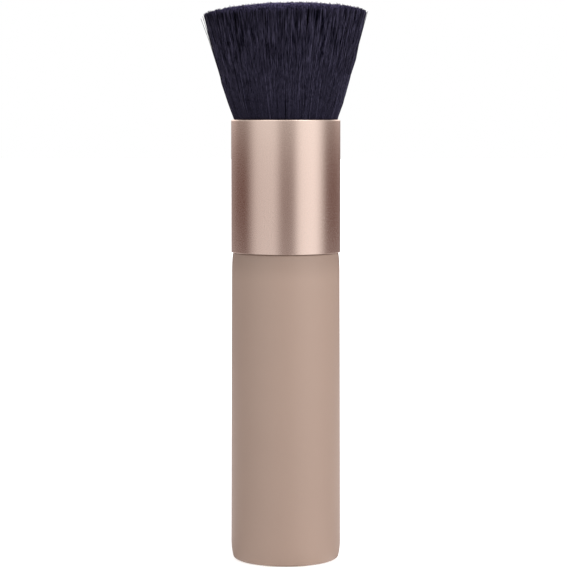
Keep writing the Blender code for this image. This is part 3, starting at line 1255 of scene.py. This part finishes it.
@dataclass(frozen=True)
class Softbox:
    """An upright soft lamp that lights the brush but isn't mirrored in it.

    A lamp of power_density watts a square metre looks white.
    """

    name: str
    bearing: float
    radiance: float
    colour: Colour
    distance: float = 0.6
    width: float = 0.65
    height: float = 1.1
    power_density: float = 4.0

    def build(self) -> None:
        """Stands the lamp on the floor, facing the brush."""
        data = bpy.data.lights.new(self.name, "AREA")
        data.shape = "RECTANGLE"
        data.size = self.width
        data.size_y = self.height
        data.color = self.colour
        data.energy = self.power_density * self.radiance * self.width * self.height
        made = linked(self.name, data)
        bearing = math.radians(self.bearing)
        spot = Vector((math.sin(bearing), -math.cos(bearing), 0.0)) * self.distance
        inward = (-spot).to_track_quat("-Z", "Y").to_matrix().to_4x4()
        made.matrix_world = Matrix.Translation(spot + Vector((0.0, 0.0, self.height / 2))) @ inward
        hidden(made, "camera", "glossy")


@dataclass(frozen=True)
class Rise:
    """A change of the tent's light between two heights, and between two bearings off the front.

    It is nothing at the first height and bearing, and whole at the last. Where it is whole, it
    keeps a share of the light that was there and adds its colour.
    """

    start: float
    end: float
    colour: Colour
    kept: float = 1.0
    bearings: Span = (-2.0, -1.0)

    def over(self, wiring: Wiring, light: Socket, height: Socket, off: Socket) -> Socket:
        """Lays the rise over the light so far.

        Args:
            wiring: the wiring of the tent's material.
            light: the light so far.
            height: the height.
            off: the unsigned bearing in radians.

        Returns:
            The socket of the changed light.
        """
        up = wiring.mapped(height, self.start, self.end, smooth=True)
        round_it = wiring.mapped(off, *map(math.radians, self.bearings), smooth=True)
        share = wiring.math("MULTIPLY", up, round_it)
        left = wiring.vector("SCALE", light, Scale=wiring.ranged(share, 1.0, self.kept))
        return wiring.vector("MULTIPLY_ADD", share, self.colour, left)


@dataclass(frozen=True)
class MirrorTent:
    """The tent round the brush, which only its mirror images show.

    Its light bands are given as stops of bearing and radiance. A warm fill lies over them all,
    and the rises change it by height.
    """

    stops: tuple[Span, ...] = (
        (-180.0, 0.3), (-156.0, 0.26), (-138.0, 0.18), (-118.0, 0.06), (-93.0, 0.0),
        (-58.0, 0.6), (-24.0, 0.64), (-6.0, 0.11), (12.0, 0.12), (32.0, 0.95),
        (61.0, 1.04), (99.0, 0.04), (124.0, 0.06), (146.0, 0.14), (180.0, 0.14),
    )
    fill: Colour = (0.09, 0.012, 0.0)
    rises: tuple[Rise, ...] = (
        Rise(250 * MM, 550 * MM, (0.05, 0.05, 0.05), kept=3.2),
        Rise(95 * MM, 190 * MM, (0.68, 0.69, 0.67), kept=0.5),
        Rise(95 * MM, 190 * MM, (0.75, 0.63, 0.58), bearings=(112.0, 145.0)),
        Rise(230 * MM, 360 * MM, (0.0, 0.0, 0.0), kept=0.3, bearings=(90.0, 125.0)),
        Rise(70 * MM, 0.0, (0.22, 0.23, 0.23), kept=0.8),
        Rise(8 * MM, 0.0, (0.65, 0.6, 0.6), bearings=(85.0, 135.0)),
    )
    radius: float = 0.4
    height: float = 1.2
    foot_gap: float = 0.02 * MM
    segments: int = 96

    def material(self) -> Material:
        """Makes the glow of the tent from the bearing and the height of each point.

        Returns:
            The glowing material.
        """
        made = Surface("mirror_tent")
        place = made.axes()
        bearing = made.math("ARCTAN2", place["X"], made.math("MULTIPLY", place["Y"], -1.0))
        bands = made.node("ShaderNodeValToRGB", {"Fac": made.mapped(bearing, -math.pi, math.pi)})
        peak = max(radiance for _, radiance in self.stops)
        ramp = bands.color_ramp
        ramp.interpolation = "EASE"
        for _ in self.stops[2:]:
            ramp.elements.new(1.0)
        for element, (stop, radiance) in zip(ramp.elements, self.stops):
            element.position = (stop + 180.0) / 360.0
            element.color = (*(radiance / peak,) * 3, 1.0)
        light = made.vector("MULTIPLY_ADD", bands.outputs["Color"], (peak,) * 3, self.fill)
        off = made.math("ABSOLUTE", bearing)
        for rise in self.rises:
            light = rise.over(made, light, place["Z"], off)
        return made.show(made.node("ShaderNodeEmission", {"Color": light}).outputs["Emission"])

    def build(self) -> None:
        """Stands the tent on the floor and hides it from everything but reflections."""
        bm = bmesh.new()
        foot = Matrix.Translation((0.0, 0.0, self.foot_gap))
        radius, segments = self.radius, self.segments
        bmesh.ops.create_circle(bm, cap_ends=True, radius=radius, segments=segments, matrix=foot)
        raised(bm, bm.edges[:], self.foot_gap + self.height)
        mesh = plain_mesh("mirror_tent", bm)
        mesh.materials.append(self.material())
        made = linked("mirror_tent", mesh)
        hidden(made, "camera", "diffuse", "transmission", "shadow")


@dataclass
class Studio:
    """Camera, pale floor, white backdrop, two soft lamps and the tent of reflections."""

    camera_place: tuple[float, float, float] = (-0.58 * MM, -589.4 * MM, 113.6 * MM)
    camera_pitch: float = -4.09
    lens: float = 145.65
    sensor: float = 36.0
    backdrop_colour: Colour = (1.0, 1.0, 1.0)
    ambient: float = 0.45
    floor_half: float = 6.0
    floor_colour: Colour = (0.9, 0.9, 0.9)
    floor_roughness: float = 0.9
    floor_bounce: float = 0.2
    floor_glow: float = 0.45
    floor_span: Span = (0.15, 0.8)
    lamps: tuple[Softbox, ...] = (
        Softbox("left_softbox", -50.0, 0.36, (1.0, 0.985, 0.97)),
        Softbox("right_softbox", 48.0, 1.28, (1.0, 0.99, 0.98)),
    )
    tent: MirrorTent = MirrorTent()

    def add_camera(self) -> None:
        """Sets up the camera at the photograph's angle."""
        data = bpy.data.cameras.new("photo_camera")
        data.lens = self.lens
        data.sensor_width = self.sensor
        made = linked("photo_camera", data)
        made.location = self.camera_place
        made.rotation_euler = (math.radians(90.0 + self.camera_pitch), 0.0, 0.0)
        bpy.context.scene.camera = made

    def seen_directly(self, wiring: Wiring) -> Socket:
        """A mask that is 1 for camera, glossy and transmission rays."""
        path = wiring.node("ShaderNodeLightPath").outputs
        either = wiring.math("MAXIMUM", path["Is Camera Ray"], path["Is Glossy Ray"])
        return wiring.math("MAXIMUM", either, path["Is Transmission Ray"])

    def add_backdrop(self) -> None:
        """Makes the world: white where it is seen, and a plain ambient light on the brush."""
        world = bpy.data.worlds.new("white_backdrop")
        bpy.context.scene.world = world
        world.use_nodes = True
        wiring = Wiring(world.node_tree)
        strength = wiring.ranged(self.seen_directly(wiring), self.ambient, 1.0)
        inputs = {"Color": self.backdrop_colour, "Strength": strength}
        light = wiring.node("ShaderNodeBackground", inputs).outputs["Background"]
        wiring.node("ShaderNodeOutputWorld", {"Surface": light})

    def floor_material(self) -> Material:
        """Makes the floor's paint, which glows to white away from the brush where it is seen.

        Returns:
            The material, which lights the brush by its bounce alone.
        """
        made = Surface("pale_floor")
        inputs = {"Base Color": self.floor_colour, "Roughness": self.floor_roughness}
        paint = made.node("ShaderNodeBsdfPrincipled", inputs).outputs["BSDF"]
        away = made.node("ShaderNodeVectorMath", {0: made.place()}, operation="LENGTH")
        level = made.mapped(away.outputs["Value"], *self.floor_span, low=self.floor_glow)
        strength = made.math("MULTIPLY_ADD", level, self.seen_directly(made), self.floor_bounce)
        glow = made.node("ShaderNodeEmission", {"Strength": strength}).outputs["Emission"]
        return made.show(made.node("ShaderNodeAddShader", {0: paint, 1: glow}).outputs["Shader"])

    def add_floor(self) -> None:
        """Lays the pale floor that the brush stands on. It keeps the brush's shadow."""
        bm = bmesh.new()
        bmesh.ops.create_grid(bm, x_segments=1, y_segments=1, size=self.floor_half)
        mesh = plain_mesh("studio_floor", bm)
        mesh.materials.append(self.floor_material())
        linked("studio_floor", mesh)

    def build(self) -> None:
        """Sets up the whole studio."""
        bpy.context.scene.view_settings.view_transform = "Standard"
        self.add_camera()
        self.add_backdrop()
        self.add_floor()
        for lamp in self.lamps:
            lamp.build()
        self.tent.build()


def main() -> None:
    """Builds the brush from the handle up, then the studio round it."""
    logging.basicConfig(level=logging.INFO, format="%(name)s: %(message)s")
    Handle().build()
    Ferrule().build()
    InnerWorks().dress()
    Tuft().build()
    Studio().build()


if __name__ == "__main__":
    main()
